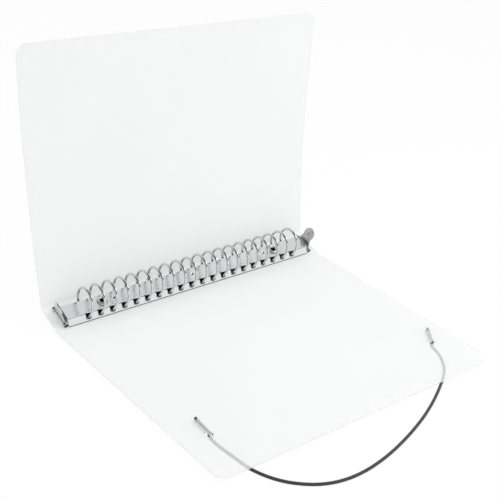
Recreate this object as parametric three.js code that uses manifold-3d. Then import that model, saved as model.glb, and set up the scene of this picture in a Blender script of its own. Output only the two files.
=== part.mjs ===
// Ring binder cover: a frosted plastic sheet creased into two covers and a spine,
// a twenty ring metal mechanism on the spine, and an elastic closing cord.
// Millimetres. X runs along the spine, Y from the front cover to the back, Z up.
// The binder lies open: the front cover rests on the table towards -Y, the back cover stands.

import * as THREE from 'three';
import { mergeVertices } from 'three/addons/utils/BufferGeometryUtils.js';
import Module from 'manifold-3d';

const wasm = await Module();
wasm.setup();

// Clearances
const running_gap = 0.3;        // between pieces that touch or move past each other
const slot_clearance = 0.35;    // round a ring wire in its slot

// Plastic sheet
const cover_height = 230;       // along the spine
const cover_width = 176;        // crease to fore edge
const spine_width = 24;         // crease to crease
const sheet = 1;                // thickness
const corner_radius = 8;
const back_bow = 3.7;           // how far the standing cover bulges at half its width
const back_twist = 10;          // how far its top corners stand off the flat

// How the binder lies open
const spine_tilt = THREE.MathUtils.degToRad(18);
const back_lean = THREE.MathUtils.degToRad(82.5);

// Ring mechanism, centred on the spine
const ring_count = 20;
const ring_pitch = 9.5;
const wire = 1.8;               // ring wire diameter
const ring_half_width = 9.6;    // centreline, at the ring's widest
const ring_centre = 10.3;       // height of the widest point above the spine panel
const leg_reach = 11;           // vertical half axis of the lower legs
const housing_margin = 15.5;    // first ring to the end of the housing
const housing_half_base = 9.3;
const housing_half_top = 5.6;
const housing_height = 5;
const metal = 0.6;              // housing sheet thickness
const lip_width = 1.9;          // housing edge folded in under the rails
const rail_thickness = 0.7;
const rail_setback = 4;         // housing end to rail end, room for the lever foot

// Rivets and pressed dimples
const rivet_offset = 1.5;       // pitches from the first and last ring
const rivet_hole = 3.8;
const rivet_wall = 0.5;
const rivet_head = 7.8;         // diameter
const rivet_dome = 0.9;
const rivet_shoulder = 0.7;     // share of the dome at its outer edge
const dimple_offset = 2.5;      // pitches from the first and last ring
const dimple_radius = 1.2;
const dimple_depth = 0.3;

// Levers
const lever_thickness = 1;
const lever_lean = THREE.MathUtils.degToRad(18);
const lever_tip_radius = 3.2;
const lever_tip_rise = 13;      // pivot to the centre of the round tip
const lever_ear_reach = 8;      // pivot ear centres to either side of the middle
const lever_ear_radius = 1.5;
const lever_root = 5.4;         // half width of the thumb tab where it leaves the bar
const lever_waist = 0.8;        // its narrowest, as a share of the tip's radius
const lever_flank = [0.5, 0.6]; // where its sides curve in, as shares of the tip's rise
const lever_foot_length = 3;
const lever_foot_half_width = 4.6;
const lever_standoff = 0.6;     // housing end to the lever bar

// Elastic cord and its crimped metal tips
const cord_diameter = 2;
const cord_hole = 5.5;
const hole_inset = 19.5;        // from either end of the front cover
const hole_from_crease = 139;
const cord_gap_under_cover = 0.2;
const tip_length = 16.4;
const tip_wall = 0.35;
const tip_overlap = 3.2;        // how far a tip reaches past the middle of its hole
const tip_turns = [THREE.MathUtils.degToRad(-4), THREE.MathUtils.degToRad(-36)];  // as they lie

// Facets of the curved faces
const sheet_cells = [6, 12];    // along the spine, across a cover
const corner_facets = 8;
const hole_facets = 16;
const dish_facets = [48, 32];
const wire_facets = 4;          // to each half of a round section
const ring_steps = 10;
const ear_facets = 12;
const fold_facets = 10;
const cord_steps = 78;
const cord_samples = 2000;      // for even steps along the cord
const weld_distance = 1e-4;

// Colours
const frosted = { color: 0xf4f6f7, roughness: 0.55, metalness: 0 };
const plated = { color: 0xc9ccd0, roughness: 0.22, metalness: 1 };
const bright_wire = { color: 0xd4d6d8, roughness: 0.15, metalness: 1 };
const spring_steel = { color: 0x9fa3a8, roughness: 0.35, metalness: 1 };
const charcoal = { color: 0x46484a, roughness: 0.85, metalness: 0 };

// Places worked out from the sizes above
const half_sheet = sheet / 2;
const crease_gap = running_gap / 2;
const rest_z = running_gap;                          // housing underside over the spine panel
const lip_top = rest_z + metal;
const rail_bottom = lip_top + running_gap;
const rail_top = rail_bottom + rail_thickness;
const housing_top = rest_z + housing_height;
const slope_angle = Math.atan2(housing_height, housing_half_base - housing_half_top);
const inner_half_top = housing_half_top - metal * Math.tan(slope_angle / 2);
const inner_top = housing_top - metal;
const inner_half_at = (w) => inner_half_top + (inner_top - w) / Math.tan(slope_angle);
const outer_half_at = (w) => housing_half_top + (housing_top - w) / Math.tan(slope_angle);
const rail_outer = inner_half_at(rail_top) - running_gap;
const ring_span = (ring_count - 1) * ring_pitch;
const first_ring_x = (cover_height - ring_span) / 2;
const housing_start = first_ring_x - housing_margin;
const housing_length = ring_span + 2 * housing_margin;
const ring_xs = Array.from({ length: ring_count }, (_, i) => first_ring_x + i * ring_pitch);
const rivet_xs = [ring_xs[0] + rivet_offset * ring_pitch,
  ring_xs[ring_count - 1] - rivet_offset * ring_pitch];
const dimple_xs = [ring_xs[0] + dimple_offset * ring_pitch, cover_height / 2,
  ring_xs[ring_count - 1] - dimple_offset * ring_pitch];
const rivet_radius = rivet_hole / 2 + rivet_wall;
const lever_pivot_w = rest_z + lever_ear_radius;
const cover_rise = cord_diameter + cord_gap_under_cover;
const front_tilt = Math.asin(cover_rise / hole_from_crease);

// Solids: joining and cutting closed meshes
function toSolid(geometry) {
  const bare = geometry.clone();
  bare.deleteAttribute('normal');
  bare.deleteAttribute('uv');
  const merged = mergeVertices(bare, weld_distance);
  return new wasm.Manifold(new wasm.Mesh({
    numProp: 3,
    vertProperties: new Float32Array(merged.attributes.position.array),
    triVerts: new Uint32Array(merged.index.array),
  }));
}

function toGeometry(solid) {
  const mesh = solid.getMesh();
  const geometry = new THREE.BufferGeometry();
  geometry.setAttribute('position', new THREE.BufferAttribute(mesh.vertProperties, 3));
  geometry.setIndex(new THREE.BufferAttribute(mesh.triVerts, 1));
  geometry.computeVertexNormals();
  return geometry;
}

function named(name, geometry, finish) {
  const mesh = new THREE.Mesh(geometry, new THREE.MeshStandardMaterial(finish));
  mesh.name = name;
  return mesh;
}

function boxBetween(low, high) {
  const size = high.map((value, axis) => value - low[axis]);
  const middle = high.map((value, axis) => (value + low[axis]) / 2);
  return new THREE.BoxGeometry(...size).translate(...middle);
}

// A prism along X from an outline drawn in Y and Z
function prismAlongX(points, start, length) {
  const outline = new THREE.Shape(points.map(([y, z]) => new THREE.Vector2(y, z)));
  const geometry = new THREE.ExtrudeGeometry(outline, { depth: length, bevelEnabled: false });
  return geometry.rotateX(Math.PI / 2).rotateZ(Math.PI / 2).translate(start, 0, 0);
}

// Covers and spine: one sheet, creased along two mitred lines.
// A panel runs along +Y from its crease, its middle plane at Z = 0.
function panelSlab(reach, far_mitre, offset) {
  const slab = new THREE.BoxGeometry(cover_height, reach, sheet, ...sheet_cells, 2);
  slab.translate(cover_height / 2, reach / 2, 0);
  const position = slab.attributes.position;
  const edge_tolerance = 1e-3;
  for (let i = 0; i < position.count; i += 1) {
    const x = position.getX(i);
    const y = position.getY(i);
    const z = position.getZ(i);
    let moved = y;
    if (y < edge_tolerance) moved = crease_gap + Math.abs(z);
    if (y > reach - edge_tolerance && far_mitre) moved = reach - crease_gap - Math.abs(z);
    position.setY(i, moved);
    position.setZ(i, z + offset(x, y / reach));
  }
  return slab;
}

function coverOutline(reach) {
  const r = corner_radius;
  const outline = new THREE.Shape();
  outline.moveTo(0, 0);
  outline.lineTo(cover_height, 0);
  outline.lineTo(cover_height, reach - r);
  outline.absarc(cover_height - r, reach - r, r, 0, Math.PI / 2, false);
  outline.lineTo(r, reach);
  outline.absarc(r, reach - r, r, Math.PI / 2, Math.PI, false);
  outline.lineTo(0, 0);
  const depth = 4 * (back_bow + back_twist) + sheet;
  const prism = new THREE.ExtrudeGeometry(outline, {
    depth, bevelEnabled: false, curveSegments: corner_facets,
  });
  return prism.translate(0, 0, -depth / 2);
}

function holePrism(x, y, radius, depth) {
  const drill = new THREE.CylinderGeometry(radius, radius, depth, hole_facets);
  return drill.rotateX(Math.PI / 2).translate(x, y, 0);
}

const hole_xs = [hole_inset, cover_height - hole_inset];

function frontCover() {
  let solid = toSolid(panelSlab(cover_width, false, () => 0));
  solid = solid.intersect(toSolid(coverOutline(cover_width)));
  for (const x of hole_xs) {
    solid = solid.subtract(toSolid(holePrism(x, hole_from_crease, cord_hole / 2, 4 * sheet)));
  }
  return toGeometry(solid);
}

function backCover() {
  const bulge = (x, s) => 4 * back_bow * s * (1 - s) + back_twist * s * (1 - 2 * x / cover_height);
  const slab = toSolid(panelSlab(cover_width, false, (x, s) => -bulge(x, s)));
  return toGeometry(slab.intersect(toSolid(coverOutline(cover_width))));
}

function spinePanel() {
  let solid = toSolid(panelSlab(spine_width, true, () => 0));
  for (const x of rivet_xs) {
    const radius = rivet_radius + running_gap;
    solid = solid.subtract(toSolid(holePrism(x, spine_width / 2, radius, 4 * sheet)));
  }
  return toGeometry(solid);
}

// Housing: a folded channel with a lip under each side and a slot for every ring leg.
// Mechanism pieces are drawn about the spine's middle line, Z from the panel's inner face.
function ringHousing() {
  const side = (sign) => {
    const outer = [[housing_half_base - lip_width, rest_z], [housing_half_base, rest_z],
      [housing_half_top, housing_top]];
    const inner = [[inner_half_top, inner_top], [inner_half_at(lip_top), lip_top],
      [housing_half_base - lip_width, lip_top]];
    return [...outer, ...inner].map(([y, z]) => [sign * y, z]);
  };
  const right = side(1);
  const left = side(-1);
  const outline = [...right.slice(0, 3), ...left.slice(0, 3).reverse(),
    ...left.slice(3).reverse(), ...right.slice(3)];
  let solid = toSolid(prismAlongX(outline, housing_start, housing_length));
  const slot_half = wire / 2 + slot_clearance;
  const slot_inner = housing_half_top + metal;
  const slot_outer = outer_half_at(rail_bottom);
  for (const x of ring_xs) {
    for (const sign of [1, -1]) {
      const ys = [sign * slot_inner, sign * slot_outer].sort((a, b) => a - b);
      const slot = boxBetween([x - slot_half, ys[0], rail_bottom], [x + slot_half, ys[1], housing_top]);
      solid = solid.subtract(toSolid(slot));
    }
  }
  for (const x of rivet_xs) {
    const drill = holePrism(x, 0, rivet_radius + running_gap, housing_height);
    solid = solid.subtract(toSolid(drill.translate(0, 0, housing_top)));
  }
  for (const x of dimple_xs) {
    const dish_radius = (dimple_radius ** 2 + dimple_depth ** 2) / (2 * dimple_depth);
    const dish = new THREE.SphereGeometry(dish_radius, ...dish_facets);
    dish.rotateX(Math.PI / 2).translate(x, 0, housing_top + dish_radius - dimple_depth);
    solid = solid.subtract(toSolid(dish));
  }
  return toGeometry(solid);
}

// Rails: two spring plates side by side under the housing, hinged at their outer edges
function ringRail(side) {
  const start = housing_start + rail_setback;
  const length = housing_length - 2 * rail_setback;
  const near = running_gap / 2;
  const ys = [side * near, side * rail_outer].sort((a, b) => a - b);
  let solid = toSolid(boxBetween([start, ys[0], rail_bottom], [start + length, ys[1], rail_top]));
  for (const x of rivet_xs) {
    const notch = rivet_radius + 2 * running_gap;
    const bite = boxBetween([x - notch, -notch, rail_bottom - sheet], [x + notch, notch, rail_top + sheet]);
    solid = solid.subtract(toSolid(bite));
  }
  return toGeometry(solid);
}

// Ring: a semicircle over the top, then a leg that draws in to its seat on the rail
class RingCentreline extends THREE.Curve {
  constructor(side) {
    super();
    this.side = side;
    this.start = Math.asin(running_gap / 2 / ring_half_width);
    const drop = ring_centre - rail_top - running_gap;
    const slant_lift = wire / 2 * drop / leg_reach;
    this.end = Math.PI / 2 + Math.asin((drop - slant_lift) / leg_reach);
  }

  getPoint(t, target = new THREE.Vector3()) {
    const angle = this.start + (this.end - this.start) * t;
    const rise = angle < Math.PI / 2 ? ring_half_width : leg_reach;
    const y = this.side * ring_half_width * Math.sin(angle);
    return target.set(0, y, ring_centre + rise * Math.cos(angle));
  }
}

function halfRing(side) {
  const section = new THREE.Shape().absarc(0, 0, wire / 2, 0, 2 * Math.PI, false);
  return new THREE.ExtrudeGeometry(section, {
    steps: ring_steps, curveSegments: wire_facets, extrudePath: new RingCentreline(side),
  });
}

// Rivet: a hollow barrel through housing and spine, turned over at both ends
function rivet() {
  const bore = rivet_hole / 2;
  const head = rivet_head / 2;
  const top = housing_top + running_gap;
  const under = -sheet - running_gap;
  const shoulder = rivet_shoulder * rivet_dome;
  const profile = [[bore, under - rivet_dome / 2], [bore, top + rivet_dome / 2],
    [(bore + head) / 2, top + rivet_dome], [head - rivet_wall, top + shoulder], [head, top],
    [rivet_radius, top], [rivet_radius, under], [head, under],
    [head - rivet_wall, under - shoulder], [(bore + head) / 2, under - rivet_dome]];
  profile.push(profile[0]);
  profile.reverse();
  const points = profile.map(([r, z]) => new THREE.Vector2(r, z));
  return new THREE.LatheGeometry(points, hole_facets).rotateX(Math.PI / 2);
}

// Lever: a thumb tab on a bar with round pivot ears, and a foot under the rails' ends.
// Drawn about its pivot, the tab leaning to -X and the foot reaching to +X.
function lever() {
  const half = lever_thickness / 2;
  const waist = lever_waist * lever_tip_radius;
  const [low, high] = lever_flank.map((share) => share * lever_tip_rise);
  const tab = new THREE.Shape();
  tab.moveTo(-lever_root, 0);
  tab.lineTo(lever_root, 0);
  tab.bezierCurveTo(lever_root, low, waist, high, lever_tip_radius, lever_tip_rise);
  tab.absarc(0, lever_tip_rise, lever_tip_radius, 0, Math.PI, false);
  tab.bezierCurveTo(-waist, high, -lever_root, low, -lever_root, 0);
  const tab_geometry = new THREE.ExtrudeGeometry(tab, {
    depth: lever_thickness, bevelEnabled: false, curveSegments: corner_facets,
  });
  tab_geometry.translate(0, 0, -half).rotateX(Math.PI / 2).rotateZ(Math.PI / 2);
  tab_geometry.rotateY(-lever_lean);
  const bar = new THREE.CylinderGeometry(lever_ear_radius, lever_ear_radius,
    2 * lever_ear_reach, ear_facets);
  const foot = boxBetween([0, -lever_foot_half_width, -half],
    [lever_ear_radius + lever_standoff + lever_foot_length, lever_foot_half_width, half]);
  return toGeometry(toSolid(tab_geometry).add(toSolid(bar)).add(toSolid(foot)));
}

// Cord tip: a strip of metal folded over the cord's end, open to the cover beneath.
// It bridges the hole, and the cord leaves it downwards.
const tip_axis = cord_diameter / 2 + running_gap;    // cord centre over the cover

function cordTip() {
  const inner = cord_diameter / 2 + running_gap;
  const outer = inner + tip_wall;
  const leg = tip_axis - running_gap;
  const fold = new THREE.Shape();
  fold.moveTo(outer, -leg);
  fold.lineTo(outer, 0);
  fold.absarc(0, 0, outer, 0, Math.PI, false);
  fold.lineTo(-outer, -leg);
  fold.lineTo(-inner, -leg);
  fold.lineTo(-inner, 0);
  fold.absarc(0, 0, inner, Math.PI, 0, true);
  fold.lineTo(inner, -leg);
  fold.lineTo(outer, -leg);
  const strip = new THREE.ExtrudeGeometry(fold, {
    depth: tip_length, bevelEnabled: false, curveSegments: fold_facets,
  });
  return strip.rotateX(Math.PI / 2).translate(0, tip_length - tip_overlap, 0);
}

// Cord: out of the left tip, down through its hole, round on the table and back up
const cord_route = [
  [20.5, -124.0, 4.4], [20.2, -129.0, 4.5], [19.9, -132.7, 4.5], [19.7, -136.1, 4.5],
  [19.6, -137.4, 4.3], [19.5, -138.5, 3.7], [19.5, -139.1, 2.8], [19.4, -139.8, 1.9],
  [19.4, -140.9, 1.2], [19.3, -142.2, 1.04], [19.2, -149.0, 1.04], [20.3, -160.0, 1.04],
  [22.2, -174.5, 1.04], [26.0, -184.5, 1.04], [30.8, -192.2, 1.04], [36.8, -198.6, 1.04],
  [44.9, -204.6, 1.04], [54.0, -208.7, 1.04], [65.0, -211.0, 1.04], [77.1, -211.3, 1.04],
  [91.1, -209.7, 1.04], [104.3, -207.0, 1.04], [119.7, -202.7, 1.04], [133.0, -198.2, 1.04],
  [146.6, -192.9, 1.04], [163.0, -185.2, 1.04], [179.9, -175.8, 1.04], [188.9, -170.0, 1.04],
  [197.2, -162.9, 1.04], [203.5, -154.4, 1.04], [206.7, -147.6, 1.04], [208.7, -141.5, 1.04],
  [209.4, -140.5, 1.2], [210.1, -139.6, 1.9], [210.5, -139.1, 2.8], [210.8, -138.6, 3.7],
  [211.5, -137.7, 4.3], [212.2, -136.7, 4.5], [215.8, -131.7, 4.5], [219.3, -126.9, 4.5],
].map((place) => new THREE.Vector3(...place));

function elasticCord() {
  const path = new THREE.CatmullRomCurve3(cord_route, false, 'centripetal');
  path.arcLengthDivisions = cord_samples;
  const section = new THREE.Shape().absarc(0, 0, cord_diameter / 2, 0, 2 * Math.PI, false);
  return new THREE.ExtrudeGeometry(section, {
    steps: cord_steps, curveSegments: wire_facets, extrudePath: path,
  });
}

// Assembly, built about the front crease
const front = new THREE.Group();
front.rotation.x = -front_tilt;
front.add(named('front_cover', frontCover().rotateZ(Math.PI).translate(cover_height, 0, 0), frosted));

['left_cord_tip', 'right_cord_tip'].forEach((name, i) => {
  const tip = named(name, cordTip(), plated);
  tip.position.set(hole_xs[i], -hole_from_crease, half_sheet + tip_axis);
  tip.rotation.z = tip_turns[i];
  front.add(tip);
});

const spine = new THREE.Group();
spine.rotation.x = spine_tilt;
spine.add(named('spine_panel', spinePanel(), frosted));

const mechanism = new THREE.Group();
mechanism.position.set(0, spine_width / 2, half_sheet);
mechanism.add(named('ring_housing', ringHousing(), plated));
const sides = { front: -1, back: 1 };
for (const [word, side] of Object.entries(sides)) {
  mechanism.add(named(`${word}_ring_rail`, ringRail(side), spring_steel));
  ring_xs.forEach((x, i) => {
    const number = String(i + 1).padStart(2, '0');
    const half = named(`${word}_half_ring_${number}`, halfRing(side), bright_wire);
    half.position.x = x;
    mechanism.add(half);
  });
}
['left_rivet', 'right_rivet'].forEach((name, i) => {
  const piece = named(name, rivet(), plated);
  piece.position.x = rivet_xs[i];
  mechanism.add(piece);
});
const lever_reach = lever_standoff + lever_ear_radius;
const left_lever = named('left_lever', lever(), plated);
left_lever.position.set(housing_start - lever_reach, 0, lever_pivot_w);
const right_lever = named('right_lever', lever(), plated);
right_lever.rotation.z = Math.PI;
right_lever.position.set(housing_start + housing_length + lever_reach, 0, lever_pivot_w);
mechanism.add(left_lever, right_lever);
spine.add(mechanism);

const back = new THREE.Group();
back.position.set(0, spine_width * Math.cos(spine_tilt), spine_width * Math.sin(spine_tilt));
back.rotation.x = back_lean;
back.add(named('back_cover', backCover(), frosted));

const binder = new THREE.Group();
binder.add(front, spine, back);

// Stand the binder on the table, centred over the origin; its cord lies on the table with it
binder.updateMatrixWorld(true);
const on_cord = ['left_cord_tip', 'right_cord_tip'];
const space = new THREE.Box3();
binder.traverse((piece) => {
  if (piece.isMesh && !on_cord.includes(piece.name)) space.expandByObject(piece, true);
});
const cord = named('elastic_cord', elasticCord(), charcoal);
cord.position.z = space.min.z;
binder.add(cord);
binder.position.set(-(space.min.x + space.max.x) / 2, -(space.min.y + space.max.y) / 2, -space.min.z);

export default binder;
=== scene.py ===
# Open ring binder: a creased sheet of frosted plastic, a twenty ring mechanism on its spine
# and an elastic closing cord. Metres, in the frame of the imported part: X along the spine,
# Y from the front cover to the back, Z up from the table.

from math import asin, atan2, cos, pi, radians, sin

import bpy
from mathutils import Matrix, Quaternion, Vector


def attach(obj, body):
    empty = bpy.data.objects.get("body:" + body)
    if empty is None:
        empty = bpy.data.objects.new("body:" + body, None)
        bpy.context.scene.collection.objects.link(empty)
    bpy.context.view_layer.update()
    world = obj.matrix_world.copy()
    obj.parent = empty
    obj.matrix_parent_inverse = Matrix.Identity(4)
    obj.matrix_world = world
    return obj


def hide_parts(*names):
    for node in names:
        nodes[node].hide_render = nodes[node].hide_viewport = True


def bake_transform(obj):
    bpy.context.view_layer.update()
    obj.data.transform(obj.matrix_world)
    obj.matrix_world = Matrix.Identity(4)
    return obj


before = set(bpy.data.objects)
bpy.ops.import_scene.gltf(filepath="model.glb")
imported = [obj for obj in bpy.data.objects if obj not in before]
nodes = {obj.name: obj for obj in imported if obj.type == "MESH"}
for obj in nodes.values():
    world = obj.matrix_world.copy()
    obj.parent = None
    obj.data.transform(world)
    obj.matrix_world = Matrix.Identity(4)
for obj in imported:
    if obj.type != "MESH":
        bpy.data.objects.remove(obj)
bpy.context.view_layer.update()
bpy.ops.object.select_all(action="DESELECT")
MM = 0.001


# Camera: above the left end of the fore edge, looking along the open spread, turned a
# little clockwise as the photograph was taken.
camera_place = Vector((-0.41378, -0.45757, 0.38617))
camera_target = Vector((0.07253, 0.09184, 0.0))
camera_roll = radians(5.93)
camera_data = bpy.data.cameras.new("camera")
camera_data.sensor_width = 36
camera_data.lens = 76.385
camera = bpy.data.objects.new("camera", camera_data)
bpy.context.scene.collection.objects.link(camera)
bpy.context.scene.camera = camera
aim = (camera_target - camera_place).to_track_quat("-Z", "Y")
camera.rotation_mode = "QUATERNION"
camera.rotation_quaternion = aim @ Quaternion((0, 0, 1), camera_roll)
camera.location = camera_place


# Closing cord: a round braid of dark yarn over a rubber core. It leaves the left tip, drops
# through its hole in the front cover, runs out under the fore edge, lies in one loose curve
# on the table and comes back under the cover to the right hole and tip.
class Socket:
    """A value of a shader graph; arithmetic on it adds Math nodes."""

    def __init__(self, graph, socket):
        self.graph = graph
        self.socket = socket

    def _math(self, operation, first, second=None):
        values = {0: first} if second is None else {0: first, 1: second}
        return self.graph.add("ShaderNodeMath", {"operation": operation}, values)

    def __add__(self, other):
        return self._math("ADD", self, other)

    def __sub__(self, other):
        return self._math("SUBTRACT", self, other)

    def __mul__(self, other):
        return self._math("MULTIPLY", self, other)

    def sine(self):
        return self._math("SINE", self)

    def above(self, other):
        return self._math("MAXIMUM", self, other)

    def part(self, axis):
        return self.graph.add("ShaderNodeSeparateXYZ", {}, {"Vector": self}, axis)


class Finish:
    """A material made of nodes round one Principled shader."""

    def __init__(self, name, **plain):
        self.material = bpy.data.materials.new(name)
        self.material.use_nodes = True
        self.tree = self.material.node_tree
        self.shader = self.tree.nodes["Principled BSDF"]
        for socket, value in plain.items():
            self.shader.inputs[socket.replace("_", " ")].default_value = value

    def add(self, kind, settings, values, output=0):
        node = self.tree.nodes.new(kind)
        for key, value in settings.items():
            setattr(node, key, value)
        for key, value in values.items():
            if isinstance(value, Socket):
                self.tree.links.new(value.socket, node.inputs[key])
            else:
                node.inputs[key].default_value = value
        return Socket(self, node.outputs[output])

    def place(self):
        return self.add("ShaderNodeTexCoord", {}, {}, "Object")

    def noise(self, scale, detail=2.0, stretch=(1, 1, 1)):
        spot = self.add("ShaderNodeMapping", {}, {"Vector": self.place(), "Scale": stretch})
        values = {"Vector": spot, "Scale": scale, "Detail": detail}
        return self.add("ShaderNodeTexNoise", {}, values)

    def blend_colours(self, share, first, second):
        kind = {"data_type": "RGBA"}
        return self.add("ShaderNodeMix", kind, {0: share, 6: first, 7: second}, 2)

    def drive(self, socket, value):
        self.tree.links.new(value.socket, self.shader.inputs[socket])

    def bump(self, height, strength, distance):
        values = {"Height": height, "Strength": strength, "Distance": distance}
        self.drive("Normal", self.add("ShaderNodeBump", {}, values))


def new_piece(name, mesh):
    piece = bpy.data.objects.new(name, mesh)
    bpy.context.scene.collection.objects.link(piece)
    return piece


def smooth_curve(points, steps):
    """Points of the centripetal curve through a route, as the part's own cord follows it."""
    first = 2 * points[0] - points[1]
    last = 2 * points[-1] - points[-2]
    run = [first, *points, last]
    found = []
    for i in range(len(points) - 1):
        p = run[i:i + 4]
        knots = [0.0]
        for a, b in zip(p, p[1:]):
            knots.append(knots[-1] + (b - a).length ** 0.5)
        for k in range(steps):
            t = knots[1] + (knots[2] - knots[1]) * k / steps
            level = [q.copy() for q in p]
            for depth in (1, 2, 3):
                for j in range(4 - depth):
                    low, high = (1, 2) if depth == 3 else (j, j + depth)
                    share = (t - knots[low]) / (knots[high] - knots[low])
                    level[j] = level[j].lerp(level[j + 1], share)
            found.append(level[0])
    return found + [points[-1].copy()]


def tube(name, path, radii, sides):
    """A closed round tube along a path, with its own map: across round it, up its length."""
    rings, across, length = [], None, [0.0]
    for i, point in enumerate(path):
        ahead = (path[min(i + 1, len(path) - 1)] - path[max(i - 1, 0)]).normalized()
        across = ahead.cross(Vector((0, 0, 1))) if across is None else across
        across = (across - ahead * across.dot(ahead)).normalized()
        other = ahead.cross(across)
        turns = [2 * pi * k / sides for k in range(sides)]
        rings.append([point + radii[i] * (cos(a) * across + sin(a) * other) for a in turns])
        if i:
            length.append(length[-1] + (point - path[i - 1]).length)
    corners = [corner for ring in rings for corner in ring]
    faces, uvs = [], []
    for i in range(len(path) - 1):
        for k in range(sides):
            after = (k + 1) % sides
            faces.append((i * sides + k, (i + 1) * sides + k, (i + 1) * sides + after,
                          i * sides + after))
            uvs += [(k / sides, length[i]), (k / sides, length[i + 1]),
                    ((k + 1) / sides, length[i + 1]), ((k + 1) / sides, length[i])]
    faces += [tuple(range(sides)), tuple(reversed(range(len(corners) - sides, len(corners))))]
    uvs += [(0, 0)] * (2 * sides)
    mesh = bpy.data.meshes.new(name)
    mesh.from_pydata(corners, [], faces)
    layer = mesh.uv_layers.new(name="along")
    layer.data.foreach_set("uv", [value for pair in uvs for value in pair])
    mesh.validate()
    return new_piece(name, mesh), length[-1]


crease_y = 60.1038
cord_diameter = 2.0 * MM
cord_route = [
    (20.5, -124.0, 4.4), (20.2, -129.0, 4.5), (19.9, -132.7, 4.5), (19.7, -136.1, 4.5),
    (19.6, -137.4, 4.3), (19.5, -138.5, 3.7), (19.5, -139.1, 2.8), (19.4, -139.8, 1.9),
    (19.4, -140.9, 1.2), (19.3, -142.2, 1.04), (19.2, -149.0, 1.04), (20.3, -160.0, 1.04),
    (22.2, -174.5, 1.04), (26.0, -184.5, 1.04), (30.8, -192.2, 1.04), (36.8, -198.6, 1.04),
    (44.9, -204.6, 1.04), (54.0, -208.7, 1.04), (65.0, -211.0, 1.04), (77.1, -211.3, 1.04),
    (91.1, -209.7, 1.04), (104.3, -207.0, 1.04), (119.7, -202.7, 1.04), (133.0, -198.2, 1.04),
    (146.6, -192.9, 1.04), (163.0, -185.2, 1.04), (179.9, -175.8, 1.04), (188.9, -170.0, 1.04),
    (197.2, -162.9, 1.04), (203.5, -154.4, 1.04), (206.7, -147.6, 1.04), (208.7, -141.5, 1.04),
    (209.4, -140.5, 1.2), (210.1, -139.6, 1.9), (210.5, -139.1, 2.8), (210.8, -138.6, 3.7),
    (211.5, -137.7, 4.3), (212.2, -136.7, 4.5), (215.8, -131.7, 4.5), (219.3, -126.9, 4.5),
]
cord_points = [Vector((x - 115, y + crease_y, z)) * MM for x, y, z in cord_route]
cord_line = smooth_curve(cord_points, steps=14)
squeezed = 0.62                  # the cord's girth where a tip is crimped on it
squeeze_from = (crease_y - 126.2) * MM
squeeze_to = (crease_y - 138.7) * MM
taper = 1.4 * MM
braid_strands = 8
braid_pitch = 1.5 * MM


def girth(point):
    """Half the cord's thickness: full, but drawn in under the crimped tips."""
    inside = min(squeeze_from - point.y, point.y - squeeze_to) / taper + 0.5
    share = max(0.0, min(1.0, inside))
    return cord_diameter / 2 * (1 - (1 - squeezed) * share * share * (3 - 2 * share))


cord, cord_length = tube("closing_cord", cord_line, [girth(p) for p in cord_line], 20)
bpy.context.view_layer.objects.active = cord
cord.select_set(True)
bpy.ops.object.shade_smooth_by_angle(angle=radians(50))
cord.select_set(False)

yarn = Finish("woven_elastic", Roughness=0.72, Sheen_Weight=0.25, Sheen_Roughness=0.4)
wound = yarn.add("ShaderNodeUVMap", {"uv_map": "along"}, {})
round_it = wound.part("X") * (2 * pi * braid_strands)
along_it = wound.part("Y") * (2 * pi / braid_pitch)
over = (round_it + along_it).sine()
under = (round_it - along_it).sine()
plait = over.above(under)
yarn.drive("Base Color", yarn.blend_colours(
    plait * 0.35 + yarn.noise(900) * 0.65, (0.016, 0.017, 0.018, 1), (0.075, 0.077, 0.080, 1)))
yarn.bump(plait + yarn.noise(2500) * 0.4, 0.9, 0.12 * MM)
cord.data.materials.append(yarn.material)
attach(cord, "front_cover")
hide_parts("elastic_cord")


# Cover sheet: one millimetre of frosted polypropylene, creased along two lines into the
# front cover, the spine and the back cover. The front cover lies on the table, lifted a
# little by the cord; the back cover stands, bowed and slightly twisted.
sheet = 1.0 * MM
cover_width = 176 * MM
cover_height = 230 * MM
spine_width = 24 * MM
corner_radius = 8 * MM
spine_tilt = radians(18)
back_lean = radians(82.5)
back_bow = 3.7 * MM
back_twist = 10 * MM
front_tilt = atan2(2.2, 139)     # the front cover rises so much up to its holes
front_crease = Vector((0, crease_y, 0.4896)) * MM
hole_inset = 19.5 * MM
hole_from_crease = 139 * MM
cord_hole = 5.5 * MM
spine_way = Vector((0, cos(spine_tilt), sin(spine_tilt)))
back_crease = front_crease + spine_way * spine_width
first_ring = 24.75 * MM
ring_pitch = 9.5 * MM
rivet_from_end = first_ring + 1.5 * ring_pitch
rivet_xs = [rivet_from_end, cover_height - rivet_from_end]
sheet_columns = 92
corner_columns = 10
front_bend = 1.6 * MM            # how far the sheet bends on either side of a crease
back_bend = 2.6 * MM
rivet_hole = 5.4 * MM


def front_place(x, u):
    """Where a point of the front half lies: u from the crease, negative on the spine."""
    if u < 0:
        return front_crease + spine_way * -u + Vector((x, 0, 0))
    return front_crease + Vector((x, -u * cos(front_tilt), u * sin(front_tilt)))


def back_place(x, u):
    """Where a point of the back half lies: u from the crease, negative on the spine."""
    if u < 0:
        return back_crease + spine_way * u + Vector((x, 0, 0))
    s = u / cover_width
    bulge = 4 * back_bow * s * (1 - s) - back_twist * s * (2 * x / cover_height)
    way = Vector((x, u * cos(back_lean), u * sin(back_lean)))
    return back_crease + way - bulge * Vector((0, -sin(back_lean), cos(back_lean)))


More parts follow.
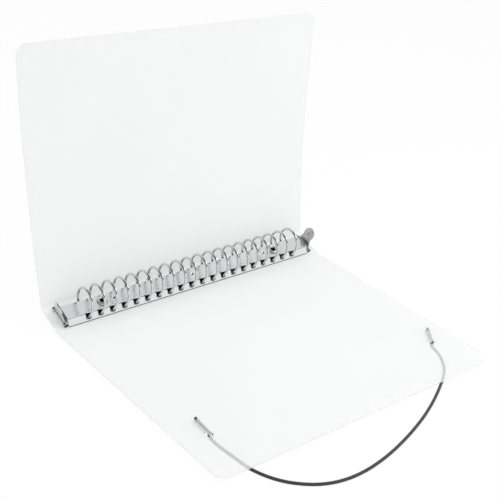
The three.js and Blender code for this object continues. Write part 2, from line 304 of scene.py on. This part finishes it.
def half_sheet(name, place, bend):
    """Half the creased sheet, from the middle of the spine to the fore edge."""
    edges = [-spine_width / 2, -6 * MM, -bend, bend, 8 * MM, cover_width - corner_radius,
             cover_width]
    rows_between = [5, 6, 12, 5, 42, 10]
    lines = []
    for low, high, count in zip(edges, edges[1:], rows_between):
        lines += [low + (high - low) * k / count for k in range(count)]
    lines.append(cover_width)
    bpy.ops.mesh.primitive_grid_add(x_subdivisions=sheet_columns,
                                    y_subdivisions=sum(rows_between), size=1)
    piece = bpy.context.object
    piece.name = piece.data.name = name
    side = cover_height / 2
    inner = side - corner_radius
    for vertex in piece.data.vertices:
        column = round((vertex.co.x + 0.5) * sheet_columns)
        row = round((vertex.co.y + 0.5) * sum(rows_between))
        if column <= corner_columns:
            x = -side + corner_radius * column / corner_columns
        elif column >= sheet_columns - corner_columns:
            x = side - corner_radius * (sheet_columns - column) / corner_columns
        else:
            x = -inner + 2 * inner * (column - corner_columns) / (
                sheet_columns - 2 * corner_columns)
        u = lines[row]
        a = (abs(x) - inner) / corner_radius
        b = (u - cover_width + corner_radius) / corner_radius
        if a > 0 and b > 0:
            shrink = max(a, b) / (a * a + b * b) ** 0.5
            x = (inner + a * shrink * corner_radius) * (1 if x > 0 else -1)
            u = cover_width - corner_radius + b * shrink * corner_radius
        if abs(u) < bend:
            t = (u + bend) / (2 * bend)
            crease = place(x, 0)
            low = place(x, -bend).lerp(crease, t)
            vertex.co = low.lerp(crease.lerp(place(x, bend), t), t)
        else:
            vertex.co = place(x, u)
    thick = piece.modifiers.new("thickness", "SOLIDIFY")
    thick.thickness = sheet
    thick.offset = 0
    thick.use_even_offset = True
    return piece


def combine(piece, other, operation="DIFFERENCE"):
    """Cut another mesh out of a piece, or join it on, and take the other mesh away."""
    step = piece.modifiers.new("combined", "BOOLEAN")
    step.operation = operation
    step.object = other
    bpy.context.view_layer.objects.active = piece
    bpy.ops.object.modifier_apply(modifier=step.name)
    bpy.data.objects.remove(other)


def drill(piece, spots, radius, turn):
    """Round holes through a piece, along the Z of a turned frame."""
    for spot in spots:
        bpy.ops.mesh.primitive_cylinder_add(vertices=40, radius=radius, depth=8 * sheet,
                                            location=spot, rotation=turn)
        combine(piece, bpy.context.object)


def apply_all(piece):
    bpy.context.view_layer.objects.active = piece
    for modifier in list(piece.modifiers):
        bpy.ops.object.modifier_apply(modifier=modifier.name)


def finish_mesh(piece, angle=35, flat_faces_first=False):
    """Smooth shading up to an angle; large flat faces can be kept from picking up a curve."""
    bpy.ops.object.select_all(action="DESELECT")
    piece.select_set(True)
    bpy.context.view_layer.objects.active = piece
    bpy.ops.object.shade_smooth_by_angle(angle=radians(angle))
    if flat_faces_first:
        weighted = piece.modifiers.new("weighted normals", "WEIGHTED_NORMAL")
        weighted.keep_sharp = True
        weighted.weight = 100
        bpy.ops.object.modifier_apply(modifier=weighted.name)
    piece.select_set(False)


frosted = Finish("frosted_polypropylene", Roughness=0.5, IOR=1.49, Alpha=0.42)
cloud = frosted.noise(9, 3)
frosted.drive("Base Color", frosted.blend_colours(
    cloud, (0.872, 0.876, 0.882, 1), (0.925, 0.928, 0.932, 1)))
frosted.drive("Roughness", frosted.noise(600) * 0.2 + 0.42)
frosted.bump(frosted.noise(4200, 1) + frosted.noise(1400, 1) * 0.5, 0.22, 0.05 * MM)

front_sheet = half_sheet("front_sheet", front_place, front_bend)
back_sheet = half_sheet("back_sheet", back_place, back_bend)
spine_middle = front_crease + spine_way * (spine_width / 2)
rivet_spots = [spine_middle + Vector((x - cover_height / 2, 0, 0)) for x in rivet_xs]
cord_spots = [front_place(x, hole_from_crease)
              for x in (-cover_height / 2 + hole_inset, cover_height / 2 - hole_inset)]
for piece in (front_sheet, back_sheet):
    apply_all(piece)
    drill(piece, rivet_spots, rivet_hole / 2, (spine_tilt, 0, 0))
drill(front_sheet, cord_spots, cord_hole / 2, (-front_tilt, 0, 0))
for piece in (front_sheet, back_sheet):
    finish_mesh(piece, 40)
    piece.data.materials.clear()
    piece.data.materials.append(frosted.material)
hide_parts("front_cover", "spine_panel")
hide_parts("back_cover")
front_place(0, -2 * MM)
front_place(0, 2 * MM)
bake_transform(front_sheet)
back_place(0, -2.6 * MM)
back_place(0, 2.6 * MM)
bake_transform(back_sheet)


# Ring housing: a strip of plated steel folded to a channel, with a slot for every ring leg
# and three pressed dimples. Two spring rails snap over centre inside it.
def ease_edges(piece, width, segments=1, angle=60):
    """A bevel on the edges that are sharper than an angle."""
    ease = piece.modifiers.new("eased edges", "BEVEL")
    ease.width = width
    ease.segments = segments
    ease.limit_method = "ANGLE"
    ease.angle_limit = radians(angle)


def pressed_metal(node, name, edge):
    """A copy of a solid with its sharp edges eased as pressed metal has them."""
    piece = new_piece(name, nodes[node].data.copy())
    bpy.ops.object.select_all(action="DESELECT")
    piece.select_set(True)
    bpy.context.view_layer.objects.active = piece
    bpy.ops.object.mode_set(mode="EDIT")
    bpy.ops.mesh.select_all(action="SELECT")
    bpy.ops.mesh.remove_doubles(threshold=0.002 * MM)
    bpy.ops.mesh.dissolve_limited(angle_limit=radians(0.6))
    bpy.ops.object.mode_set(mode="OBJECT")
    ease_edges(piece, edge, segments=2, angle=35)
    apply_all(piece)
    finish_mesh(piece, 32)
    piece.data.materials.clear()
    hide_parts(node)
    return piece


plated = Finish("bright_nickel", Metallic=1.0, Roughness=0.16)
drawn = plated.noise(60, 4, (0.15, 3, 3))
plated.drive("Base Color", plated.blend_colours(
    drawn, (0.62, 0.625, 0.63, 1), (0.73, 0.735, 0.74, 1)))
plated.drive("Roughness", plated.noise(180, 3) * 0.14 + 0.10)
plated.bump(plated.noise(700, 2, (0.3, 1, 1)), 0.08, 0.05 * MM)

housing_top = 5.3 * MM
housing_half_top = 5.6 * MM
dimple_radius = 1.3 * MM
dimple_depth = 0.45 * MM
dimple_xs = (48.5 * MM, 115 * MM, 181.5 * MM)
slot_half = 2.1 * MM
slot_depth = 3.0 * MM
slot_height = 3.4 * MM
slot_side = 6.85 * MM            # from the middle line to the middle of a slot
slot_middle = 3.2 * MM
# Painted shade: the folds are painted near black below the first height and between the other
# two, and so are the dimple floors.
fold_shade = [0.66 * MM, 4.66 * MM, 4.95 * MM]
inner_top = 4.75 * MM
side_slope = 0.74                # how far the sides spread for each millimetre down
inner_margin = 0.2 * MM
ring_count = 20
mechanism = (Matrix.Translation((-cover_height / 2, 0.0713620, 0.0046734))
             @ Matrix.Rotation(spine_tilt, 4, "X"))
unmechanism = mechanism.inverted()
satin = Finish("satin_nickel", Metallic=1.0, Roughness=0.3)
drawn = satin.noise(60, 4, (0.15, 3, 3))
satin.drive("Base Color", satin.blend_colours(
    drawn, (0.77, 0.775, 0.78, 1), (0.83, 0.834, 0.838, 1)))
satin.drive("Roughness", satin.noise(180, 3) * 0.10 + 0.18)
# Painted shade: a near-black steel for the inside of the housing, its folds and its dimple
# floors.
painted_shade_metal = Finish("painted_shade_steel", Metallic=1.0, Roughness=0.5)
painted_shade_metal.drive("Base Color", painted_shade_metal.blend_colours(
    painted_shade_metal.noise(300), (0.03, 0.03, 0.032, 1), (0.06, 0.06, 0.064, 1)))

housing = pressed_metal("ring_housing", "housing", 0.14 * MM)
bpy.ops.object.mode_set(mode="EDIT")
for height in fold_shade:
    bpy.ops.mesh.select_all(action="SELECT")
    bpy.ops.mesh.bisect(plane_co=mechanism @ Vector((0, 0, height)),
                        plane_no=mechanism.to_3x3() @ Vector((0, 0, 1)))
bpy.ops.object.mode_set(mode="OBJECT")
cutters = []
for i in range(ring_count):
    for side in (-1, 1):
        bpy.ops.mesh.primitive_cube_add(
            size=1, scale=(2 * slot_half, slot_depth, slot_height),
            location=(first_ring + i * ring_pitch, side * slot_side, slot_middle))
        cutters.append(bpy.context.object)
dish = (dimple_radius ** 2 + dimple_depth ** 2) / (2 * dimple_depth)
for x in dimple_xs:
    bpy.ops.mesh.primitive_uv_sphere_add(segments=40, ring_count=30, radius=dish,
                                         location=(x, 0, housing_top + dish - dimple_depth))
    cutters.append(bpy.context.object)
for cutter in cutters:
    cutter.select_set(True)
bpy.context.view_layer.objects.active = cutters[0]
bpy.ops.object.join()
cutter = bpy.context.object
bpy.ops.object.transform_apply(location=True, rotation=True, scale=True)
cutter.data.transform(mechanism)
combine(housing, cutter)
finish_mesh(housing, 32, flat_faces_first=True)
housing.data.materials.clear()
housing.data.materials.append(satin.material)
housing.data.materials.append(painted_shade_metal.material)
# Faces inside the channel and in the bands above are given the painted shade.
for face in housing.data.polygons:
    middle = unmechanism @ face.center
    limit = housing_half_top + (inner_top - middle.z) * side_slope - inner_margin
    inside = middle.z < inner_top and abs(middle.y) < limit
    in_painted_shade_band = middle.z < fold_shade[0] or fold_shade[1] < middle.z < fold_shade[2]
    face.material_index = int(inside or in_painted_shade_band)
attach(housing, "spine")

# Painted shade: the rails are near black so the inside of the housing reads dark through the
# slots; the brushed streaks are their grain.
painted_shade_spring = Finish("spring_steel", Metallic=1.0, Roughness=0.34)
brushed = painted_shade_spring.noise(90, 3, (0.05, 4, 4))
painted_shade_spring.drive("Base Color", painted_shade_spring.blend_colours(
    brushed, (0.035, 0.036, 0.038, 1), (0.07, 0.072, 0.075, 1)))
painted_shade_spring.bump(brushed, 0.1, 0.05 * MM)
for word in ("front", "back"):
    rail = pressed_metal(f"{word}_ring_rail", f"{word}_rail", 0.08 * MM)
    rail.data.materials.append(painted_shade_spring.material)
    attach(rail, f"{word}_rings")


# Rings: nickel plated spring wire. Each ring is two halves, one fixed to each rail, that
# meet over the middle of the housing and draw in to their slots below.
wire = 1.8 * MM
ring_half_width = 9.6 * MM
ring_centre = 10.3 * MM
leg_reach = 11 * MM
ring_gap = 0.15 * MM
ring_lift = 7.44 * MM
foot_drop = 1.0 * MM

bright = Finish("plated_wire", Metallic=1.0, Roughness=0.14)
streak = bright.noise(300, 3)
bright.drive("Base Color", bright.blend_colours(
    streak, (0.62, 0.625, 0.63, 1), (0.80, 0.804, 0.808, 1)))
bright.drive("Roughness", bright.noise(900, 2) * 0.12 + 0.08)
bright.bump(bright.noise(1500, 2), 0.05, 0.05 * MM)


def half_ring(side):
    """One half ring about the middle line of the spine, its foot run through the rail."""
    bpy.ops.mesh.primitive_circle_add(
        vertices=16, radius=wire / 2, fill_type="NGON", rotation=(pi / 2, 0, 0),
        location=(0, side * ring_gap, ring_centre + ring_half_width))
    piece = bpy.context.object
    bpy.ops.object.transform_apply(location=True, rotation=True, scale=True)
    bpy.ops.object.mode_set(mode="EDIT")
    bpy.ops.mesh.select_all(action="SELECT")
    sweep = pi / 2 + asin(ring_lift / leg_reach)
    bpy.ops.mesh.spin(steps=30, dupli=False, angle=side * sweep,
                      center=(0, 0, ring_centre), axis=(1, 0, 0))
    bpy.ops.mesh.extrude_region_move(
        TRANSFORM_OT_translate={"value": (0, 0, -foot_drop)})
    bpy.ops.mesh.select_all(action="SELECT")
    bpy.ops.mesh.remove_doubles(threshold=0.001 * MM)
    bpy.ops.mesh.normals_make_consistent(inside=False)
    bpy.ops.object.mode_set(mode="OBJECT")
    for vertex in piece.data.vertices:
        if vertex.co.z < ring_centre:
            vertex.co.z = ring_centre + (vertex.co.z - ring_centre) * leg_reach / ring_half_width
    return piece


for word, side in (("front", -1), ("back", 1)):
    pattern = half_ring(side)
    for i in range(ring_count):
        ring = new_piece(f"{word}_ring_{i + 1:02d}", pattern.data.copy())
        ring.data.transform(mechanism @ Matrix.Translation((first_ring + i * ring_pitch, 0, 0)))
        finish_mesh(ring, 40)
        ring.data.materials.append(bright.material)
        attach(ring, f"{word}_rings")
        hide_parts(f"{word}_half_ring_{i + 1:02d}")
    bpy.data.objects.remove(pattern)


# Rivets: two hollow eyelets, nickel plated, through the housing and the spine and rolled over at
# both ends. Painted shade: the bore's walls and a near-black disc at the level of the sheet
# stand for the shade down the deep bore.
# Painted shade: a near-black metal for hollows, on the eyelets' bores and the levers' knob ends.
painted_hollow_shade = Finish("eyelet_painted_hollow_shade", Metallic=1.0, Roughness=0.45)
painted_hollow_shade.drive("Base Color", painted_hollow_shade.blend_colours(
    painted_hollow_shade.noise(800), (0.03, 0.03, 0.032, 1), (0.07, 0.07, 0.075, 1)))
rivet_profile = [
    (1.9, 5.9), (2.02, 6.2), (2.4, 6.42), (2.9, 6.5), (3.35, 6.4), (3.72, 6.1), (3.9, 5.6),
    (2.4, 5.58), (2.4, -1.28), (3.9, -1.3), (3.72, -1.8), (3.35, -2.1), (2.9, -2.2),
    (2.4, -2.1), (2.02, -1.9), (1.9, -1.6),
]                                # radius and height in millimetres, as the bore's below
bore_radius = 2.0
bore_low, bore_high = -1.5, 5.95
disc_radius = 1.86 * MM
disc_thickness = 0.3 * MM
disc_height = -0.6 * MM
for word, x in zip(("left", "right"), rivet_xs):
    r, z = rivet_profile[0]
    bpy.ops.mesh.primitive_circle_add(vertices=40, radius=r * MM, location=(0, 0, z * MM))
    piece = bpy.context.object
    piece.name = piece.data.name = f"{word}_eyelet"
    bpy.ops.object.transform_apply(location=True, rotation=True, scale=True)
    bpy.ops.object.mode_set(mode="EDIT")
    bpy.ops.mesh.select_all(action="SELECT")
    for (r0, z0), (r1, z1) in zip(rivet_profile, rivet_profile[1:] + rivet_profile[:1]):
        bpy.ops.mesh.extrude_region_move(
            TRANSFORM_OT_translate={"value": (0, 0, (z1 - z0) * MM)})
        bpy.ops.transform.resize(value=(r1 / r0, r1 / r0, 1), center_override=(0, 0, z1 * MM))
    bpy.ops.mesh.select_all(action="SELECT")
    bpy.ops.mesh.remove_doubles(threshold=0.002 * MM)
    bpy.ops.mesh.normals_make_consistent(inside=False)
    bpy.ops.object.mode_set(mode="OBJECT")
    piece.data.materials.append(plated.material)
    piece.data.materials.append(painted_hollow_shade.material)
    # The walls of the bore are given the painted shade.
    for face in piece.data.polygons:
        middle = face.center * 1000
        in_bore = middle.xy.length < bore_radius and bore_low < middle.z < bore_high
        face.material_index = int(in_bore)
    # A disc of painted shade closes the bore at the level of the sheet.
    bpy.ops.mesh.primitive_cylinder_add(vertices=40, radius=disc_radius,
                                        depth=disc_thickness, location=(0, 0, disc_height))
    disc = bpy.context.object
    bpy.ops.object.transform_apply(location=True, rotation=True, scale=True)
    disc.data.materials.append(plated.material)
    disc.data.materials.append(painted_hollow_shade.material)
    for face in disc.data.polygons:
        face.material_index = 1
    piece.select_set(True)
    bpy.context.view_layer.objects.active = piece
    bpy.ops.object.join()
    piece.data.transform(mechanism @ Matrix.Translation((x, 0, 0)))
    finish_mesh(piece, 50)
    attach(piece, "spine")
    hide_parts(f"{word}_rivet")


# Levers: a pressed thumb tab at each end of the housing, rising from a folded base whose bar
# turns on round ears, with a foot that lifts the rails when the tab is pushed outwards.
lever_lean = radians(18)
lever_rise = 10.1 * MM
tab_radius = 4.9 * MM
tab_thickness = 0.9 * MM
ear_radius = 1.1 * MM
ear_reach = 8 * MM
knob_radius = 2.0 * MM
knob_depth = 2.2 * MM
knob_inset = 0.5 * MM
knob_rim = 0.5 * MM
press_radius = 2.1 * MM
press_place = 1.9 * MM
foot_length = 5.1 * MM
foot_width = 9.2 * MM
foot_thickness = 1.0 * MM
wall_place = 1.6 * MM            # inwards of the bar, just clear of the housing's end
wall_thickness = 0.5 * MM
wall_height = 4.3 * MM
pivot_x = 7.15 * MM
pivot_height = 1.8 * MM
round_to = 0.3                   # the tab's end is round to this share of its radius down
# Millimetres from the tab's centre down to a step, and the tab's half width there.
tab_sides = [(-3.0, 4.4), (-5.2, 4.9), (-7.4, 6.0), (-9.7, 7.2)]

pressed = Finish("pressed_nickel", Metallic=1.0, Roughness=0.24)
pressed.drive("Base Color", pressed.blend_colours(
    pressed.noise(350, 3), (0.52, 0.525, 0.53, 1), (0.76, 0.765, 0.77, 1)))
pressed.drive("Roughness", pressed.noise(500, 2) * 0.2 + 0.14)
pressed.bump(pressed.noise(420, 2), 0.12, 0.08 * MM)


def plate(width_at, centre, radius, thickness):
    """A thumb tab: a round end whose sides run down in steps to the fold."""
    bpy.ops.mesh.primitive_circle_add(vertices=40, radius=radius, fill_type="NGON",
                                      rotation=(0, pi / 2, 0), location=centre)
    piece = bpy.context.object
    bpy.ops.object.transform_apply(location=True, rotation=True, scale=True)
    bpy.ops.object.mode_set(mode="EDIT")
    bpy.ops.mesh.select_all(action="SELECT")
    bpy.ops.mesh.bisect(plane_co=(0, 0, centre[2] - round_to * radius), plane_no=(0, 0, 1),
                        clear_inner=True)
    bpy.ops.object.mode_set(mode="OBJECT")
    low = min(vertex.co.z for vertex in piece.data.vertices)
    for edge in piece.data.edges:
        edge.select = all(abs(piece.data.vertices[k].co.z - low) < 1e-6 for k in edge.vertices)
    bpy.ops.object.mode_set(mode="EDIT")
    bpy.context.tool_settings.mesh_select_mode = (False, True, False)
    here, half = low, (radius ** 2 - (round_to * radius) ** 2) ** 0.5
    for drop, wide in width_at:
        there = centre[2] + drop * MM
        bpy.ops.mesh.extrude_region_move(
            TRANSFORM_OT_translate={"value": (0, 0, there - here)})
        bpy.ops.transform.resize(value=(1, wide * MM / half, 1), center_override=(0, 0, there))
        here, half = there, wide * MM
    bpy.ops.object.mode_set(mode="OBJECT")
    bpy.context.tool_settings.mesh_select_mode = (True, False, False)
    thick = piece.modifiers.new("thickness", "SOLIDIFY")
    thick.thickness = thickness
    thick.offset = 0
    ease_edges(piece, 0.22 * thickness, segments=3)
    apply_all(piece)
    return piece


for word, turn, x in (("left", 0, pivot_x), ("right", pi, cover_height - pivot_x)):
    lever = plate(tab_sides, (0, 0, lever_rise), tab_radius, tab_thickness)
    bpy.ops.mesh.primitive_uv_sphere_add(segments=32, ring_count=24, radius=press_radius,
                                         location=(press_place, 0, lever_rise))
    combine(lever, bpy.context.object)
    lever.data.transform(Matrix.Rotation(-lever_lean, 4, "Y"))
    bpy.ops.mesh.primitive_cube_add(size=1, scale=(wall_thickness, 2 * ear_reach, wall_height),
                                    location=(wall_place, 0, wall_height / 2))
    inner_wall = bpy.context.object
    bpy.ops.object.transform_apply(location=True, rotation=True, scale=True)
    for vertex in inner_wall.data.vertices:
        if vertex.co.z > wall_height / 2:
            vertex.co.y *= housing_half_top / ear_reach
    ease_edges(inner_wall, 0.14 * MM, segments=2, angle=30)
    apply_all(inner_wall)
    combine(lever, inner_wall, "UNION")
    bpy.ops.mesh.primitive_cylinder_add(vertices=32, radius=ear_radius, depth=2 * ear_reach,
                                        rotation=(pi / 2, 0, 0))
    bar = bpy.context.object
    bpy.ops.object.transform_apply(location=True, rotation=True, scale=True)
    ease_edges(bar, 0.3 * MM, segments=3)
    apply_all(bar)
    combine(lever, bar, "UNION")
    for side in (-1, 1):
        bpy.ops.mesh.primitive_cylinder_add(
            vertices=32, radius=knob_radius, depth=knob_depth, rotation=(pi / 2, 0, 0),
            location=(0, side * (ear_reach - knob_inset), 0))
        knob = bpy.context.object
        bpy.ops.object.transform_apply(location=True, rotation=True, scale=True)
        ease_edges(knob, 0.35 * MM, segments=3)
        apply_all(knob)
        combine(lever, knob, "UNION")
    bpy.ops.mesh.primitive_cube_add(size=1, scale=(foot_length, foot_width, foot_thickness),
                                    location=(foot_length / 2, 0, 0))
    foot = bpy.context.object
    bpy.ops.object.transform_apply(location=True, rotation=True, scale=True)
    combine(lever, foot, "UNION")
    lever.name = lever.data.name = f"{word}_thumb_lever"
    lever.data.materials.clear()
    lever.data.materials.append(pressed.material)
    lever.data.materials.append(painted_hollow_shade.material)
    # Painted shade: the knobs' end faces inside their rims are near black, as if the ears were
    # hollow.
    for face in lever.data.polygons:
        middle = face.center
        knob_end_in_painted_shade = abs(middle.y) > ear_reach and middle.xz.length < knob_radius - knob_rim
        face.material_index = int(knob_end_in_painted_shade)
    lever.data.transform(mechanism @ Matrix.Translation((x, 0, pivot_height))
                         @ Matrix.Rotation(turn, 4, "Z"))
    finish_mesh(lever, 35, flat_faces_first=True)
    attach(lever, f"{word}_lever")
    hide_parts(f"{word}_lever")


# Cord tips: a short strip of plated steel crimped to a narrow bar over either end of the
# cord. It lies across its hole, so that it can't be pulled back through.
tip_length = 16.4 * MM
tip_overlap = 3.2 * MM
tip_radius = 0.98 * MM
tip_wall = 0.2 * MM
tip_axis = 1.3 * MM
tip_leg = 0.95 * MM
collar_radius = 1.35 * MM        # a flattened ring that ends the tip
collar_thickness = 0.9 * MM
collar_flatness = 0.68
tip_stations = 12
dent_stations = (5, 9)           # where the crimping tool bit
dent_reach = 1.5                 # in stations to either side
dent_depth = 0.2                 # as a share of the tip's height
tip_metal = Finish("tip_nickel", Metallic=1.0, Roughness=0.14)
tip_metal.drive("Base Color", tip_metal.blend_colours(
    tip_metal.noise(400, 2), (0.66, 0.665, 0.67, 1), (0.80, 0.804, 0.808, 1)))
tip_metal.drive("Roughness", tip_metal.noise(600, 2) * 0.1 + 0.08)
front_frame = Matrix.Translation(front_crease) @ Matrix.Rotation(-front_tilt, 4, "X")
for word, x, turn in (("left", hole_inset, -4), ("right", cover_height - hole_inset, -36)):
    bpy.ops.mesh.primitive_cylinder_add(
        vertices=32, radius=tip_radius, depth=tip_length, end_fill_type="NOTHING",
        rotation=(pi / 2, 0, 0), location=(0, tip_length / 2 - tip_overlap, 0))
    tip = bpy.context.object
    tip.name = tip.data.name = f"{word}_crimped_tip"
    bpy.ops.object.transform_apply(location=True, rotation=True, scale=True)
    bpy.ops.object.mode_set(mode="EDIT")
    bpy.ops.mesh.select_all(action="SELECT")
    bpy.ops.mesh.bisect(plane_co=(0, 0, 0), plane_no=(0, 0, 1), clear_inner=True)
    bpy.ops.mesh.extrude_region_move(TRANSFORM_OT_translate={"value": (0, 0, -tip_leg)})
    for k in range(1, tip_stations):
        spot = (0, k * tip_length / tip_stations - tip_overlap, 0)
        bpy.ops.mesh.select_all(action="SELECT")
        bpy.ops.mesh.bisect(plane_co=spot, plane_no=(0, 1, 0))
    bpy.ops.object.mode_set(mode="OBJECT")
    for vertex in tip.data.vertices:
        along = (vertex.co.y + tip_overlap) / tip_length * tip_stations
        dent = sum(max(0.0, 1 - abs(along - k) / dent_reach) for k in dent_stations)
        if vertex.co.z > 0:
            vertex.co.z *= 1 - dent_depth * min(1.0, dent)
    thick = tip.modifiers.new("thickness", "SOLIDIFY")
    thick.thickness = tip_wall
    thick.offset = -1
    ease_edges(tip, 0.06 * MM, angle=50)
    apply_all(tip)
    bpy.ops.mesh.primitive_torus_add(
        major_radius=collar_radius, minor_radius=collar_thickness / 2, major_segments=32,
        minor_segments=12, rotation=(pi / 2, 0, 0),
        location=(0, tip_length - tip_overlap - collar_thickness / 2, 0))
    collar = bpy.context.object
    bpy.ops.object.transform_apply(location=True, rotation=True, scale=True)
    for vertex in collar.data.vertices:
        vertex.co.z *= collar_flatness
    tip.select_set(True)
    bpy.context.view_layer.objects.active = tip
    bpy.ops.object.join()
    spot = Matrix.Translation((x - cover_height / 2, -hole_from_crease, sheet / 2 + tip_axis))
    tip.data.transform(front_frame @ spot @ Matrix.Rotation(radians(turn), 4, "Z"))
    finish_mesh(tip, 40)
    tip.data.materials.append(tip_metal.material)
    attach(tip, "front_cover")
    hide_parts(f"{word}_cord_tip")
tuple(cord_line[0])


# Table and light: a plain white table and surround, a broad lamp over the right of the open
# spread, and softer ones from the left, the front and above that metal doesn't mirror.
def lit_white(tree, share_of_surface):
    """How far a surface glows: only where the camera, metal or a clear sheet sees it."""
    path = tree.nodes.new("ShaderNodeLightPath")
    first = tree.nodes.new("ShaderNodeMath")
    first.operation = "MAXIMUM"
    second = tree.nodes.new("ShaderNodeMath")
    second.operation = "MAXIMUM"
    tree.links.new(path.outputs["Is Camera Ray"], first.inputs[0])
    tree.links.new(path.outputs["Is Glossy Ray"], first.inputs[1])
    tree.links.new(first.outputs[0], second.inputs[0])
    tree.links.new(path.outputs["Is Transmission Ray"], second.inputs[1])
    share = tree.nodes.new("ShaderNodeMath")
    share.operation = "MULTIPLY"
    tree.links.new(second.outputs[0], share.inputs[0])
    share.inputs[1].default_value = 1 - share_of_surface
    return share.outputs[0]


table_shade = 0.07               # the share of real light and shadow that the table shows
bpy.ops.mesh.primitive_plane_add(size=8, location=(0, 0, -0.02 * MM))
table = bpy.context.object
table.name = "table"
tabletop = bpy.data.materials.new("white_table")
tabletop.use_nodes = True
tree = tabletop.node_tree
surface = tree.nodes["Principled BSDF"]
surface.inputs["Base Color"].default_value = (0.92, 0.92, 0.92, 1)
surface.inputs["Roughness"].default_value = 0.9
glow = tree.nodes.new("ShaderNodeEmission")
glow.inputs["Strength"].default_value = 1.0
mixed = tree.nodes.new("ShaderNodeMixShader")
tree.links.new(lit_white(tree, table_shade), mixed.inputs[0])
tree.links.new(surface.outputs[0], mixed.inputs[1])
tree.links.new(glow.outputs[0], mixed.inputs[2])
tree.links.new(mixed.outputs[0], tree.nodes["Material Output"].inputs["Surface"])
table.data.materials.append(tabletop)

world = bpy.data.worlds.new("surround")
bpy.context.scene.world = world
world.use_nodes = True
tree = world.node_tree
backdrop = tree.nodes["Background"]
backdrop.inputs["Color"].default_value = (1, 1, 1, 1)


def world_maths(operation, first, second=0.0, third=0.0):
    node = tree.nodes.new("ShaderNodeMath")
    node.operation = operation
    for socket, value in zip(node.inputs, (first, second, third)):
        if isinstance(value, float):
            socket.default_value = value
        else:
            tree.links.new(value, socket)
    return node.outputs[0]


def facing(direction, from_level, to_level):
    """From 0 to 1 as the sky's direction comes round to the given one."""
    product = tree.nodes.new("ShaderNodeVectorMath")
    product.operation = "DOT_PRODUCT"
    tree.links.new(sky.outputs["Generated"], product.inputs[0])
    product.inputs[1].default_value = direction
    span = tree.nodes.new("ShaderNodeMapRange")
    span.interpolation_type = "SMOOTHSTEP"
    span.inputs["From Min"].default_value = from_level
    span.inputs["From Max"].default_value = to_level
    tree.links.new(product.outputs["Value"], span.inputs["Value"])
    return span.outputs["Result"]


# The room beyond the white surround is dimmer: metal shows the white backdrop, the bright
# horizon and a darker ceiling on the near side.
room_level = 0.70
dim_room = 0.07
sky = tree.nodes.new("ShaderNodeTexCoord")
path = tree.nodes.new("ShaderNodeLightPath")
horizon = world_maths("SUBTRACT", 1.0, facing((0, 0, 1), 0.22, 0.45))
backing = world_maths("MULTIPLY", facing((0.66, 0.75, 0), 0.0, 0.3), 0.78)
bright_sky = world_maths("MAXIMUM", horizon, backing)
open_room = world_maths("MULTIPLY_ADD", bright_sky, 1 - dim_room, dim_room)
dark_corner = world_maths("MULTIPLY_ADD", facing((-0.853, 0.516, 0), 0.5, 0.9), -0.6, 1.0)
mirrored = world_maths("MULTIPLY", open_room, dark_corner)
seen = world_maths("MAXIMUM", path.outputs["Is Camera Ray"], path.outputs["Is Transmission Ray"])
lit = world_maths("MULTIPLY_ADD", seen, 1 - room_level, room_level)
gloss = world_maths("MULTIPLY", path.outputs["Is Glossy Ray"],
                    world_maths("SUBTRACT", mirrored, lit))
tree.links.new(world_maths("ADD", lit, gloss), backdrop.inputs["Strength"])


def lamp(name, place, target, size, power, mirrored=True):
    data = bpy.data.lights.new(name, "AREA")
    data.shape = "DISK"
    data.size = size
    data.energy = power
    light = bpy.data.objects.new(name, data)
    bpy.context.scene.collection.objects.link(light)
    light.location = place
    way = Vector(target) - Vector(place)
    light.rotation_mode = "QUATERNION"
    light.rotation_quaternion = way.to_track_quat("-Z", "Y")
    light.visible_glossy = mirrored


lamp("right_lamp", (0.5, -0.38, 0.62), (0, 0, 0.05), 0.4, 1.9)
lamp("left_lamp", (-0.7, -0.3, 0.9), (0, 0, 0.05), 0.5, 0.9, False)
lamp("front_lamp", (0.35, -0.7, 0.3), (0.02, 0.08, 0.08), 0.4, 0.65, False)
lamp("top_lamp", (-0.1, 0.15, 0.9), (-0.05, -0.05, 0), 0.4, 1.5, False)

bpy.context.scene.view_settings.view_transform = "Standard"
